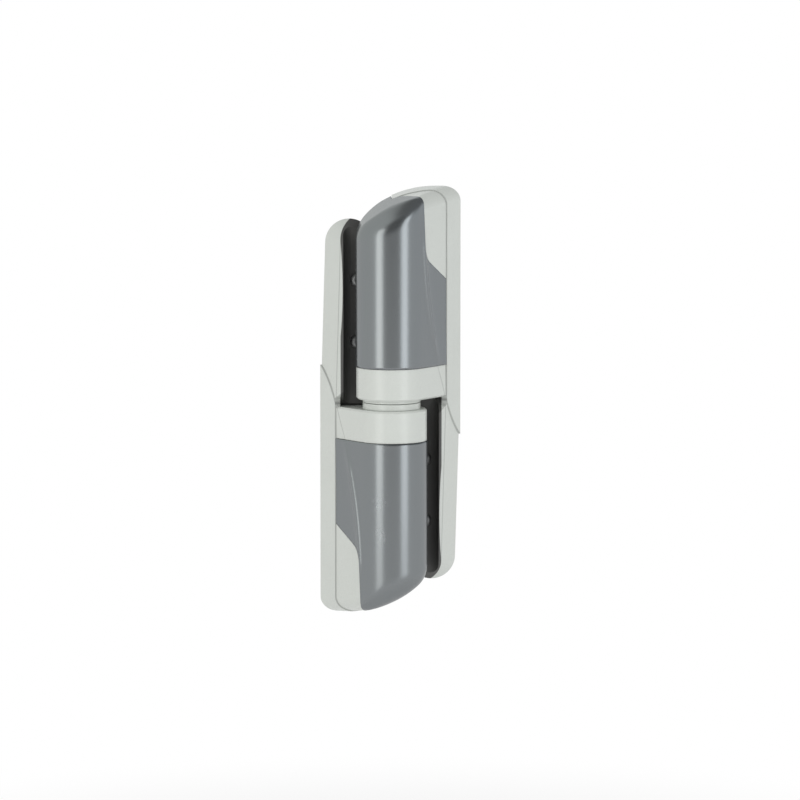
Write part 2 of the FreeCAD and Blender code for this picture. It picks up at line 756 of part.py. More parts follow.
def main():
    """Build both leaves and the bearing and write the sub-parts."""
    make_sheet()
    leaf = make_leaf()
    make_bearing()
    make_bodies(leaf["casting"])
    shared = ("base", "cover", "plate", "plate_screws", "plate_inserts", "base_screws")
    for piece in shared:
        half_turn(leaf[piece], f"door_{piece}")
    names = [f"{side}_{piece}" for side in ("frame", "door") for piece in ("body",) + shared]
    names += ["hinge_pin", "pin_lock_screw", "bearing_ring", "door_flanged_bush", "door_upper_bush"]
    write_parts(names)


main()
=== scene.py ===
"""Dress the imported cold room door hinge: cover skins, screw heads, finishes and a plain studio."""
import math
from collections import namedtuple

import bpy
import numpy as np
from bpy.props import FloatProperty, FloatVectorProperty, PointerProperty
from bpy.types import Operator, Panel, PropertyGroup
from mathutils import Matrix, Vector


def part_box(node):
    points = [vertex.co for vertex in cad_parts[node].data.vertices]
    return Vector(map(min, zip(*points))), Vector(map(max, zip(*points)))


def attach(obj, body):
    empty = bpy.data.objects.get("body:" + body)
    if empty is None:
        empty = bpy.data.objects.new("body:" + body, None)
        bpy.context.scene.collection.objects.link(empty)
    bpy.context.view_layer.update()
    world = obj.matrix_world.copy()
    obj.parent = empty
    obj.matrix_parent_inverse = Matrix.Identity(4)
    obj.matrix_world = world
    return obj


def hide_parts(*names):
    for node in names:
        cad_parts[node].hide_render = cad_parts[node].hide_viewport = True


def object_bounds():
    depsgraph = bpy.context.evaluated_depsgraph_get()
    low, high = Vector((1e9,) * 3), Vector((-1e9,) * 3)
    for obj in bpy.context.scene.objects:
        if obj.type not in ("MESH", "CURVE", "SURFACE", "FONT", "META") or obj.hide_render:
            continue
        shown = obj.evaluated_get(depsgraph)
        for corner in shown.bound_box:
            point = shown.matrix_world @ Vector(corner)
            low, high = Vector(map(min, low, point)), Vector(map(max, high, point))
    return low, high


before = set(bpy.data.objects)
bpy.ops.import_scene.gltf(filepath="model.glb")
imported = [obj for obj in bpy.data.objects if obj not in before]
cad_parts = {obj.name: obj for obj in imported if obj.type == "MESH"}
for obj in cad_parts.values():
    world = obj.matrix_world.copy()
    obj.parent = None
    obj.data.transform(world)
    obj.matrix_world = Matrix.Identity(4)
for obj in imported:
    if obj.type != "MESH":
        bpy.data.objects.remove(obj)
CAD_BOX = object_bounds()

bl_info = {
    "name": "Cold room door hinge",
    "version": (1, 0, 0),
    "blender": (4, 5, 0),
    "location": "3D View > Sidebar > Hinge",
    "description": "Finishes the packed hinge and sets it in a plain studio",
    "category": "Object",
}

MM = 0.001
BODY = {"frame": "frame_leaf", "door": "door_leaf"}
Knuckle = namedtuple("Knuckle", "barrel seam collar corner wall end")
Plan = namedtuple("Plan", "points normals travel turns")

# Modifiers: edges that turn more are rounded, faces that turn less are joined, and so are close points
SHARP_ANGLE = math.radians(32)
FLAT_ANGLE = math.radians(0.4)
EDGE_SEGMENTS = 3
JOIN_DISTANCE = 0.12 * MM
SKIN_JOIN = 0.002 * MM

# Rows and columns of the new surfaces
HEAD_TURNS = 48
HEAD_RINGS = 14
WING_COLUMNS = 110
FLANK_COLUMNS = 8
BARREL_COLUMNS = 110
WALL_ROWS = 64
END_ROWS = 6
CAP_ROWS = 34

# Lines on the frame leaf's flank, as points of depth and height
COLLAR_FOOT = -21.6 * MM
CREASE_LINE = ((10 * MM, -1 * MM), (-5.4 * MM, -52 * MM), (-10 * MM, -88 * MM))
SWOOSH_LINE = ((22 * MM, 20.5 * MM), (15.3 * MM, 11 * MM), (10 * MM, -1 * MM), (2.6 * MM, COLLAR_FOOT))

# Crease: heights between which it comes up, and its widths over which the flank sinks behind it
CREASE_FADE = (-19 * MM, -40 * MM)
SINK_WIDTHS = 3

# Dome: the turn that faces the room, the turns of the parting line's corners, and the rim's powers
FRONT_TURN = math.radians(270)
EDGE_TURNS = np.radians([235, 350, 368, 400])
ROLL_POWER = 2.4
FAR_POWER = 1.5

# Flat crown of a screw head over its socket's radius
CROWN_SHARE = 1.15

# Painted shade along the casing's seam and swoosh, as if their gaps were in shadow: reach, strength,
# distance from the pin and brightness
SEAM_REACH = 0.55 * MM
SEAM_PAINTED_SHADE = 0.45
SWOOSH_PAINTED_SHADE = 0.4
SWOOSH_FADE = (20 * MM, 24 * MM)
PAINTED_SHADE_LEVEL = 0.25

# Scuffs on the frame leaf's cover: places, reach, strength, brightness and added roughness
UPPER_SCUFF = (-7.9 * MM, -19.3 * MM, -56 * MM)
LOWER_SCUFF = (-6.7 * MM, -19.8 * MM, -75 * MM)
SCUFF_REACH = 6 * MM
SCUFF_SHARE = 0.6
SCUFF_LEVEL = 2.0
SCUFF_ROUGHNESS = 0.16

# Room that gloss shows, by parts of the direction: dark in front and at the top right, cooler on the right
FRONT_FADE = (-0.86, -0.62)
TOP_FADE = (0.40, 0.85)
TOP_LEAN = 0.4
TOP_SIDE = (-0.55, -0.15)
TOP_SHADE = 0.85
TINT_FADE = (-0.5, 0.5)
LEFT_TINT = (0.98, 1.0, 0.97)
RIGHT_TINT = (0.93, 0.965, 1.0)

# Lamps and floor: colours, the floor's least glow to the camera, and the share of its shadow that is full
LEFT_LAMP = (1.0, 1.0, 0.97)
RIGHT_LAMP = (0.95, 0.98, 1.0)
FLOOR_WHITE = (0.92, 0.92, 0.92)
FLOOR_ROUGHNESS = 0.9
FLOOR_GLOW = 0.6
SHADOW_CORE = 0.3


class HingeColours(PropertyGroup):
    """Colours of the hinge's finishes."""

    casing: FloatVectorProperty(
        name="Casing", description="Pale moulded leaves", subtype="COLOR", size=3,
        default=(0.62, 0.645, 0.61), min=0, max=1)
    cover: FloatVectorProperty(
        name="Cover", description="Dark satin covers", subtype="COLOR", size=3,
        default=(0.216, 0.230, 0.237), min=0, max=1)
    liner: FloatVectorProperty(
        name="Liner", description="Dark trough of the thin halves", subtype="COLOR", size=3,
        default=(0.065, 0.065, 0.062), min=0, max=1)
    steel: FloatVectorProperty(
        name="Steel", description="Screws and pin", subtype="COLOR", size=3,
        default=(0.42, 0.43, 0.43), min=0, max=1)
    head: FloatVectorProperty(
        name="Screw head", description="Dulled heads of the plate screws", subtype="COLOR", size=3,
        default=(0.30, 0.305, 0.305), min=0, max=1)
    brass: FloatVectorProperty(
        name="Brass", description="Threaded inserts", subtype="COLOR", size=3,
        default=(0.52, 0.37, 0.14), min=0, max=1)


class HingeSizes(PropertyGroup):
    """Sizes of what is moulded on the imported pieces."""

    casing_edge: FloatProperty(
        name="Casing edge", description="Rounding of the casing's edges", unit="LENGTH",
        default=0.7 * MM)
    small_edge: FloatProperty(
        name="Small edge", description="Rounding of rings, pins and liners", unit="LENGTH",
        default=0.3 * MM)
    head_height: FloatProperty(
        name="Head height", description="Height of a plate screw's head", unit="LENGTH",
        default=2.5 * MM)
    head_rim: FloatProperty(
        name="Head rim", description="Straight edge under the dome", unit="LENGTH",
        default=0.5 * MM)
    shank_radius: FloatProperty(
        name="Shank radius", description="Plate screw below its head", unit="LENGTH",
        default=2.0 * MM)
    socket_radius: FloatProperty(
        name="Socket radius", description="Hexagon socket across its corners, halved", unit="LENGTH",
        default=1.25 * MM)
    socket_depth: FloatProperty(
        name="Socket depth", description="Depth of the hexagon socket", unit="LENGTH",
        default=1.3 * MM)


class HingeCover(PropertyGroup):
    """Lines of the dark cover on the frame leaf, whose knuckle is below."""

    thickness: FloatProperty(
        name="Skin", description="Thickness of the cover's skin", unit="LENGTH",
        default=1.2 * MM)
    ledge: FloatProperty(
        name="Ledge", description="Cover's edge over the cheek, across the wall", unit="LENGTH",
        default=-10 * MM)
    cheek_top: FloatProperty(
        name="Cheek top", description="Where the cheek's edge turns upright", unit="LENGTH",
        default=-93 * MM)
    rise_top: FloatProperty(
        name="Rise top", description="Upper end of the cheek's bend", unit="LENGTH",
        default=-82 * MM)
    rise_depth: FloatProperty(
        name="Rise depth", description="Upper end of the cheek's bend, across the wall", unit="LENGTH",
        default=-4 * MM)
    wing_end: FloatProperty(
        name="Wing end", description="Where the cover leaves the seam", unit="LENGTH",
        default=-71.5 * MM)
    near_split: FloatProperty(
        name="Near split", description="Where the end's parting line turns back", unit="LENGTH",
        default=-13.5 * MM)
    near_depth: FloatProperty(
        name="Near depth", description="Depth of the parting line's turn", unit="LENGTH",
        default=-4 * MM)
    far_split: FloatProperty(
        name="Far split", description="Where the end's parting line meets the seam", unit="LENGTH",
        default=-4 * MM)
    end_flat: FloatProperty(
        name="End flat", description="Where the end starts to bend", unit="LENGTH",
        default=-26 * MM)
    shoulder: FloatProperty(
        name="Shoulder", description="Height of the end on the far side", unit="LENGTH",
        default=-96 * MM)
    nose_radius: FloatProperty(
        name="Nose radius", description="Bend of the end on the far side", unit="LENGTH",
        default=18 * MM)
    nose_lead: FloatProperty(
        name="Nose lead", description="Bend's end past the barrel", unit="LENGTH",
        default=0.3 * MM)
    end_lean: FloatProperty(
        name="End lean", description="Slope of the end away from the wall", subtype="FACTOR", min=0, max=1,
        default=0.11875)
    rim: FloatProperty(
        name="Rim", description="Rounding of the dome's rim at the far seam", unit="LENGTH",
        default=0.8 * MM)
    roll: FloatProperty(
        name="Roll", description="Rounding of the dome's rim at the front", unit="LENGTH",
        default=14.0 * MM)
    corner: FloatProperty(
        name="Corner", description="Rounding of the end over the flank", unit="LENGTH",
        default=6.0 * MM)
    far_edge: FloatProperty(
        name="Far edge", description="Cover's edge on the far side, across the wall", unit="LENGTH",
        default=19.5 * MM)
    back_split: FloatProperty(
        name="Back split", description="Edge between base and cover on the end", unit="LENGTH",
        default=-0.4 * MM)
    crease_height: FloatProperty(
        name="Crease", description="Height of the crease on the flank", unit="LENGTH",
        default=1.0 * MM)
    crease_width: FloatProperty(
        name="Crease width", description="Soft side of the crease", unit="LENGTH",
        default=3.0 * MM)
    crease_edge: FloatProperty(
        name="Crease edge", description="Sharp side of the crease", unit="LENGTH",
        default=1.5 * MM)
    wing_sink: FloatProperty(
        name="Wing sink", description="Flank behind the crease below the rest", unit="LENGTH",
        default=0.35 * MM)


class HingeStage(PropertyGroup):
    """Camera and light of the studio."""

    azimuth: FloatProperty(
        name="Azimuth", description="Camera's turn from the front", subtype="ANGLE",
        default=math.radians(-2.0))
    elevation: FloatProperty(
        name="Elevation", description="Camera's height angle", subtype="ANGLE",
        default=math.radians(6.3))
    distance: FloatProperty(
        name="Distance", description="Camera to hinge", unit="LENGTH",
        default=3.0)
    field: FloatProperty(
        name="Field", description="Width of the picture at the hinge", unit="LENGTH",
        default=464.6 * MM)
    aside: FloatProperty(
        name="Aside", description="Picture centre to the right of the pin", unit="LENGTH",
        default=4.9 * MM)
    above: FloatProperty(
        name="Above", description="Picture centre above the hinge's middle", unit="LENGTH",
        default=1.9 * MM)
    floor_drop: FloatProperty(
        name="Floor drop", description="Floor below the hinge", unit="LENGTH",
        default=160 * MM)
    floor_reach: FloatProperty(
        name="Floor reach", description="Floor's half width", unit="LENGTH",
        default=4.0)
    shadow_reach: FloatProperty(
        name="Shadow reach", description="Where the floor's shade fades to white", unit="LENGTH",
        default=450 * MM)
    strip_watts: FloatProperty(
        name="Strip light", description="Power of each tall light", unit="POWER",
        default=4.0)
    strip_distance: FloatProperty(
        name="Strip distance", description="Tall lights to hinge", unit="LENGTH",
        default=1.3)
    strip_width: FloatProperty(
        name="Strip width", description="Width of each tall light", unit="LENGTH",
        default=0.5)
    strip_height: FloatProperty(
        name="Strip height", description="Height of each tall light", unit="LENGTH",
        default=1.1)
    left_turn: FloatProperty(
        name="Left light", description="Left light's angle from the camera", subtype="ANGLE",
        default=math.radians(-38.5))
    right_turn: FloatProperty(
        name="Right light", description="Right light's angle from the camera", subtype="ANGLE",
        default=math.radians(41.5))
    fill: FloatProperty(
        name="Fill", description="Soft light from all round", subtype="FACTOR", min=0, max=1,
        default=0.74)
    front_level: FloatProperty(
        name="Front level", description="Room's brightness behind the camera", subtype="FACTOR",
        min=0, max=1,
        default=0.05)


def rgba(colour, level=1.0):
    """A colour at a share of its brightness, with full alpha."""
    return (*(level * part for part in colour), 1.0)


class Wire:
    """One output of a graph's nodes; arithmetic on it adds Math nodes."""

    def __init__(self, graph, socket):
        self.graph = graph
        self.socket = socket

    def _math(self, operation, first, second):
        return self.graph.node("ShaderNodeMath", {"operation": operation}, {0: first, 1: second})

    def __add__(self, other):
        return self._math("ADD", self, other)

    def __sub__(self, other):
        return self._math("SUBTRACT", self, other)

    def __rsub__(self, other):
        return self._math("SUBTRACT", other, self)

    def __mul__(self, other):
        return self._math("MULTIPLY", self, other)

    __radd__ = __add__
    __rmul__ = __mul__


class Graph:
    """A tree of shader nodes, built node by node."""

    def __init__(self, tree):
        self.tree = tree

    def node(self, kind, settings=None, sockets=None, output=0):
        """Add a node: its settings are set first, then the values or links of its sockets."""
        item = self.tree.nodes.new(kind)
        for name, value in (settings or {}).items():
            setattr(item, name, value)
        for key, value in (sockets or {}).items():
            self.feed(item.inputs[key], value)
        return Wire(self, item.outputs[output]) if item.outputs else None

    def feed(self, target, value):
        """Link a wire to a socket or set the socket's own value."""
        if isinstance(value, Wire):
            self.tree.links.new(value.socket, target)
        else:
            target.default_value = value

    def steps(self, value, low, high):
        """Ramp a value smoothly from 0 at low to 1 at high."""
        return self.node("ShaderNodeMapRange", {"interpolation_type": "SMOOTHSTEP"}, {
            "Value": value, "From Min": low, "From Max": high})

    def between(self, share, low, high):
        """A value that goes from low to high with a share."""
        return share * (high - low) + low

    def mix(self, share, first, second):
        """Blend two colours."""
        return self.node("ShaderNodeMix", {"data_type": "RGBA"}, {0: share, 6: first, 7: second}, 2)

    def blend(self, share, first, second):
        """Blend two shaders."""
        return self.node("ShaderNodeMixShader", None, {0: share, 1: first, 2: second})

    def part(self, vector, axis):
        """One coordinate of a vector."""
        return self.node("ShaderNodeSeparateXYZ", None, {0: vector}, axis)

    def ray(self, kind):
        """1 for rays of that kind and 0 for the others."""
        return self.node("ShaderNodeLightPath", output=f"Is {kind} Ray")


class Finish(Graph):
    """One procedural material round a principled shader."""

    def __init__(self, name):
        self.material = bpy.data.materials.new(name)
        self.material.use_nodes = True
        super().__init__(self.material.node_tree)
        self.shader = self.tree.nodes["Principled BSDF"]
        self.place = self.node("ShaderNodeTexCoord", output="Object")

    def set(self, **sockets):
        """Set the shader's sockets, named with underscores for spaces."""
        for name, value in sockets.items():
            self.feed(self.shader.inputs[name.replace("_", " ")], value)

    def noise(self, scale, detail=2.0, stretch=(1, 1, 1)):
        """Noise from 0 to 1 over the object, with features of about 1 / scale metres."""
        place = self.node("ShaderNodeMapping", None, {"Vector": self.place, "Scale": stretch})
        return self.node("ShaderNodeTexNoise", None, {"Vector": place, "Scale": scale, "Detail": detail})

    def mottle(self, share, colour, low, high):
        """A colour whose brightness goes from low to high with a share."""
        return self.mix(share, rgba(colour, low), rgba(colour, high))

    def near(self, spot, reach):
        """1 at a spot of the object, fading to 0 at its reach."""
        gap = self.node(
            "ShaderNodeVectorMath", {"operation": "DISTANCE"}, {0: self.place, 1: spot}, "Value")
        return self.steps(gap, reach, 0.0)

    def line(self, gap, reach):
        """1 where a gap is nothing, fading to 0 at its reach on both sides."""
        return self.steps(gap, -reach, 0.0) * self.steps(gap, reach, 0.0)

    def bump(self, height, strength, depth):
        """Normal of a fine relief of that depth in metres."""
        return self.node("ShaderNodeBump", None, {
            "Height": height, "Strength": strength, "Distance": depth})


def seam_shade(finish):
    """1 on the seam between base and body, which is level in depth; this is where the seam's shade is
    painted.
    """
    return finish.line(finish.part(finish.place, "Y") - knuckle_sizes().seam, SEAM_REACH)


def swoosh_shade(finish):
    """1 on the swoosh, where its shade is painted: a cubic of depth over height through four points, above
    the collar's foot.

    It lies on the outer side of the frame leaf; the door leaf's is turned half round.
    """
    depth = finish.part(finish.place, "Y")
    aside = finish.part(finish.place, "X")
    out = finish.node("ShaderNodeMath", {"operation": "ABSOLUTE"}, {0: aside})
    side = finish.node("ShaderNodeMath", {"operation": "SIGN"}, {0: aside})
    height = side * finish.part(finish.place, "Z") * -1.0
    curl, bend, lean, foot = np.polyfit(*reversed(np.array(SWOOSH_LINE).T), 3).tolist()
    gap = depth - ((height * curl + bend) * height + lean) * height - foot
    above = finish.steps(height, COLLAR_FOOT - SEAM_REACH, COLLAR_FOOT)
    return finish.line(gap, SEAM_REACH) * (above * finish.steps(out, *SWOOSH_FADE))


def casing_finish(colour):
    """Pale moulded plastic: fine eroded grain, slight flow mottling, and painted shade as dark lines along
    the seam and swoosh.
    """
    finish = Finish("pale_casing")
    flow = finish.noise(scale=28.0, detail=3.0)
    grain = finish.noise(scale=2600.0)
    # Painted shade: the casing's colour is darkened along the seam and swoosh, as if their gaps were in
    # shadow
    painted_shade = seam_shade(finish) * SEAM_PAINTED_SHADE + swoosh_shade(finish) * SWOOSH_PAINTED_SHADE
    clean = finish.mottle(flow, colour, low=0.965, high=1.025)
    finish.set(
        Base_Color=finish.mix(painted_shade, clean, rgba(colour, PAINTED_SHADE_LEVEL)),
        Roughness=finish.between(grain, low=0.23, high=0.33),
        Normal=finish.bump(grain, strength=0.25, depth=0.03 * MM))
    return finish.material


def cover_finish(colour):
    """Dark satin metal paint: fine flake, soft orange peel and a few light scuffs."""
    finish = Finish("dark_cover")
    flake = finish.noise(scale=5200.0)
    peel = finish.noise(scale=420.0, detail=1.0)
    streaks = finish.noise(scale=700.0, detail=4.0, stretch=(1.0, 1.0, 0.4))
    rub = finish.steps(streaks, low=0.54, high=0.66)
    scuff = rub * (finish.near(UPPER_SCUFF, SCUFF_REACH) + finish.near(LOWER_SCUFF, SCUFF_REACH))
    clean = finish.mottle(flake, colour, low=0.95, high=1.05)
    finish.set(
        Base_Color=finish.mix(scuff * SCUFF_SHARE, clean, rgba(colour, SCUFF_LEVEL)),
        Metallic=0.8,
        Specular_Tint=rgba((0.8, 0.8, 0.8)),
        Roughness=finish.between(flake, low=0.235, high=0.265) + scuff * SCUFF_ROUGHNESS,
        Normal=finish.bump(peel, strength=0.08, depth=0.05 * MM))
    return finish.material


def liner_finish(colour):
    """Dark matt plastic with a coarse moulded grain."""
    finish = Finish("dark_liner")
    grain = finish.noise(scale=1900.0)
    shade = finish.noise(scale=40.0, detail=3.0)
    finish.set(
        Base_Color=finish.mottle(shade, colour, low=0.88, high=1.12),
        Roughness=finish.between(grain, low=0.50, high=0.62),
        Normal=finish.bump(grain, strength=0.35, depth=0.05 * MM))
    return finish.material


def metal_finish(name, colour, roughness):
    """Bare metal with fine turning marks across the pin's line, at that roughness or a little more."""
    finish = Finish(name)
    marks = finish.noise(scale=1500.0, stretch=(0.08, 0.08, 1.0))
    finish.set(
        Base_Color=finish.mottle(marks, colour, low=0.86, high=1.10),
        Metallic=1.0,
        Roughness=finish.between(marks, low=roughness, high=roughness + 0.16),
        Normal=finish.bump(marks, strength=0.15, depth=0.02 * MM))
    return finish.material


def join_points(item, distance):
    """Join an object's points that are closer than the distance."""
    join = item.modifiers.new("join", "WELD")
    join.merge_threshold = distance


def even_shading(item):
    """Shade an object's faces by their size."""
    shading = item.modifiers.new("shading", "WEIGHTED_NORMAL")
    shading.keep_sharp = False


def dress(node, material, edge):
    """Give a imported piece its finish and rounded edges.

    Its loose triangles are joined to flat faces, edges that turn sharply are bevelled, and the shading
    is evened.
    """
    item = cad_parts[node]
    item.data.materials.clear()
    item.data.materials.append(material)
    join_points(item, JOIN_DISTANCE)
    flatten = item.modifiers.new("flatten", "DECIMATE")
    flatten.decimate_type = "DISSOLVE"
    flatten.angle_limit = FLAT_ANGLE
    rounding = item.modifiers.new("rounding", "BEVEL")
    rounding.width = edge
    rounding.segments = EDGE_SEGMENTS
    rounding.limit_method = "ANGLE"
    rounding.angle_limit = SHARP_ANGLE
    even_shading(item)


class HINGE_OT_casing(Operator):
    """Finish the pale leaves, which are bodies and bases, and the pale bearing parts between them."""

    bl_idname = "hinge.casing"
    bl_label = "Casing"

    def execute(self, context):
        scene = context.scene
        material = casing_finish(scene.hinge_colours.casing)
        for side in BODY:
            for piece in ("body", "base"):
                dress(f"{side}_{piece}", material, scene.hinge_sizes.casing_edge)
        for node in ("bearing_ring", "door_flanged_bush", "door_upper_bush"):
            dress(node, material, scene.hinge_sizes.small_edge)
        return {"FINISHED"}


def knuckle_sizes():
    """Barrel radius, seam, collar, flank corner, wall and end of the frame leaf, read from the frame."""
    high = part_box("frame_cover")[1]
    return Knuckle(high.x, high.y, high.z, CAD_BOX[0].x, CAD_BOX[1].y, CAD_BOX[0].z)


def touch_turn():
    """Turn at which the line from the leaf's back corner touches the barrel."""
    knuckle = knuckle_sizes()
    reach = math.hypot(knuckle.corner, knuckle.wall)
    return math.atan2(knuckle.wall, knuckle.corner) + math.acos(knuckle.barrel / reach)


def cover_plan(cover):
    """Plan of the cover from the seam along the flank and round the barrel.

    The flank is the line from the leaf's back corner that touches the barrel's circle. The plan has
    points, outward normals, the travel along it and the normals' turns.
    """
    knuckle = knuckle_sizes()
    touch = touch_turn()
    last = 2 * math.pi + math.asin(cover.far_edge / knuckle.barrel)
    round_barrel = np.linspace(touch, last, BARREL_COLUMNS)
    arc = knuckle.barrel * np.column_stack([np.cos(round_barrel), np.sin(round_barrel)])
    slope = (arc[0, 0] - knuckle.corner) / (knuckle.wall - arc[0, 1])
    depth = np.concatenate([
        np.linspace(knuckle.seam, cover.ledge, WING_COLUMNS, endpoint=False),
        np.linspace(cover.ledge, arc[0, 1], FLANK_COLUMNS, endpoint=False)])
    flank = np.column_stack([knuckle.corner + slope * (knuckle.wall - depth), depth])
    points = np.concatenate([flank, arc])
    turns = np.concatenate([np.full(len(depth), touch), round_barrel])
    normals = np.column_stack([np.cos(turns), np.sin(turns)])
    steps = np.linalg.norm(np.diff(points, axis=0), axis=1)
    return Plan(points, normals, np.concatenate([[0.0], np.cumsum(steps)]), turns)


def cheek_line(cover, depth):
    """Height of the cover's lower edge over the cheek: a slope, then a quarter bend that ends upright."""
    across = cover.rise_depth - cover.ledge
    up = cover.rise_top - cover.cheek_top
    bend = (across ** 2 + up ** 2) / (2 * across)
    from_middle = np.minimum(depth, cover.rise_depth) - cover.ledge - bend
    curve = cover.cheek_top + np.sqrt(np.clip(bend ** 2 - from_middle ** 2, 0, None))
    share = (depth - cover.rise_depth) / (knuckle_sizes().seam - cover.rise_depth)
    line = cover.rise_top + share * (cover.wing_end - cover.rise_top)
    return np.where(depth > cover.rise_depth, line, curve)


def front_line(cover, x):
    """Height of the end seen from the front: level, then a wide arc, then the nose's arc, all tangent."""
    knuckle = knuckle_sizes()
    nose = cover.nose_radius
    nose_x = knuckle.barrel + cover.nose_lead - nose
    away = nose_x - cover.end_flat
    rise = cover.shoulder - knuckle.end
    bend = (away ** 2 + rise ** 2 - nose ** 2) / (2 * (rise - nose))
    bend_length = away * (bend / math.hypot(away, rise - bend))
    along_bend = np.clip(x - cover.end_flat, 0, bend_length)
    wide = knuckle.end + bend - np.sqrt(bend ** 2 - along_bend ** 2)
    tight = cover.shoulder - np.sqrt(np.clip(nose ** 2 - (x - nose_x) ** 2, 0, None))
    return np.where(x > cover.end_flat + bend_length, tight, wide)


def rim_rounding(cover, turn):
    """Width of the dome's rounded rim at a turn round the knuckle: widest at the front.

    Towards the flank it narrows to the corner in step with the cosine of the turn from the front.
    Towards the far seam it narrows to the rim with a power of that cosine.
    """
    facing = np.clip(np.cos(turn - FRONT_TURN), 0, 1)
    edge_on = math.cos(touch_turn() - FRONT_TURN)
    share = np.clip((facing - edge_on) / (1 - edge_on), 0, 1)
    near = cover.corner + (cover.roll - cover.corner) * share
    far = cover.rim + (cover.roll - cover.rim) * facing ** FAR_POWER
    return np.where((turn < FRONT_TURN) & (turn > np.pi / 2), near, far)


def rim_drop(cover, x, y):
    """Fall of the end at its rim: a quarter of a superellipse of the distance to the plan's outline."""
    touch = touch_turn()
    turn = np.arctan2(y, x) % (2 * np.pi)
    on_flank = (turn < touch) & (turn > np.pi / 2)
    out = np.where(on_flank, x * math.cos(touch) + y * math.sin(touch), np.hypot(x, y))
    rounding = rim_rounding(cover, turn)
    near = np.clip(1 - (knuckle_sizes().barrel - out) / rounding, 0, 1)
    return rounding * (1 - (1 - near ** ROLL_POWER) ** (1 / ROLL_POWER))


def end_height(cover, x, y):
    """Height of the knuckle's end: its front line, plus a lean away from the wall, plus the rim's fall."""
    return front_line(cover, x) + cover.end_lean * (knuckle_sizes().wall - y) + rim_drop(cover, x, y)


def crease_lift(cover, travel, height):
    """Lift of the skin at the crease: sharp on the barrel's side, soft on the wing's, sunk behind it.

    The crease is a parabola through three points of the flank, a bell curve across, and it fades out
    towards the collar.
    """
    line = np.array(CREASE_LINE)
    depth = np.polyval(np.polyfit(line[:, 1], line[:, 0], 2), height)
    gap = travel - (knuckle_sizes().seam - depth) / abs(math.cos(touch_turn()))
    side = np.where(gap > 0, cover.crease_edge, cover.crease_width)
    share = np.clip((height - CREASE_FADE[0]) / (CREASE_FADE[1] - CREASE_FADE[0]), 0, 1)
    ridge = np.exp(-(gap / side) ** 2)
    behind = np.clip(-gap / (SINK_WIDTHS * cover.crease_width), 0, 1)
    return share * (cover.crease_height * ridge - cover.wing_sink * behind)


def cover_wall(cover, plan):
    """Rows of the wall, evenly spaced from the collar to the cheek's edge, lifted at the crease."""
    collar = knuckle_sizes().collar
    on_wing = np.arange(len(plan.points)) <= WING_COLUMNS
    foot = np.where(on_wing, cheek_line(cover, plan.points[:, 1]), cover.cheek_top)
    height = collar + (foot - collar) * np.linspace(0.0, 1.0, WALL_ROWS)[:, None]
    lift = crease_lift(cover, plan.travel[None, :], height)
    outline = plan.points[None] + plan.normals[None] * lift[:, :, None]
    return np.concatenate([outline, height[:, :, None]], axis=2)


def parting_line(cover, plan):
    """Inner edge of the dome in plan: straight lines between its corners, a point for each column."""
    seam = knuckle_sizes().seam
    along = plan.travel[WING_COLUMNS:]
    start_x = plan.points[WING_COLUMNS, 0]
    last_x = plan.points[-1, 0]
    knots = [along[0], *np.interp(EDGE_TURNS, plan.turns, plan.travel), along[-1]]
    edge_x = [start_x, cover.near_split, cover.far_split, cover.back_split, cover.back_split, last_x]
    edge_y = [cover.ledge, cover.near_depth, seam, seam, cover.far_edge, cover.far_edge]
    return np.column_stack([np.interp(along, knots, edge_x), np.interp(along, knots, edge_y)])


def cover_end(cover, plan, foot):
    """Rows of the end, and how far each has turned from the wall's side to upright.

    They run straight from the wall's foot to the dome's rim, then on straight lines in plan from the rim
    to the parting line, lifted to the end's height and closest at the rim (1 less the cosine).
    """
    rim_line = plan.points[WING_COLUMNS:]
    span = (1 - np.cos(np.linspace(0.0, np.pi / 2, CAP_ROWS)))[:, None, None]
    spots = rim_line[None] + (parting_line(cover, plan) - rim_line)[None] * span
    top = end_height(cover, spots[:, :, 0], spots[:, :, 1])
    cap = np.concatenate([spots, top[:, :, None]], axis=2)
    below = foot[None] + (cap[0] - foot)[None] * np.linspace(0.0, 1.0, END_ROWS)[1:, None, None]
    upright = np.concatenate([np.zeros((END_ROWS - 1, 1, 1)), span[1:]])
    return np.concatenate([below, cap[1:]]), upright


def cover_grids(cover):
    """Outer and inner side of the cover's skin, each a grid of the wall and a grid of the end.

    The inner side lies one thickness in: along the plan's normal on the wall, turning to upright over
    the dome.
    """
    plan = cover_plan(cover)
    wall = cover_wall(cover, plan)
    end, upright = cover_end(cover, plan, wall[-1, WING_COLUMNS:])
    flat = np.broadcast_to(plan.normals[None, WING_COLUMNS:] * (1 - upright), (*end.shape[:2], 2))
    inward = np.concatenate([-flat, np.broadcast_to(upright, (*end.shape[:2], 1))], axis=2)
    wall_in = wall.copy()
    wall_in[:, :, :2] -= cover.thickness * plan.normals[None]
    return (wall, end), (wall_in, end + cover.thickness * inward)


def strips(grid):
    """Four-sided faces between the rows of a grid of point numbers."""
    return np.stack([grid[:-1, :-1], grid[1:, :-1], grid[1:, 1:], grid[:-1, 1:]], axis=2).reshape(-1, 4)


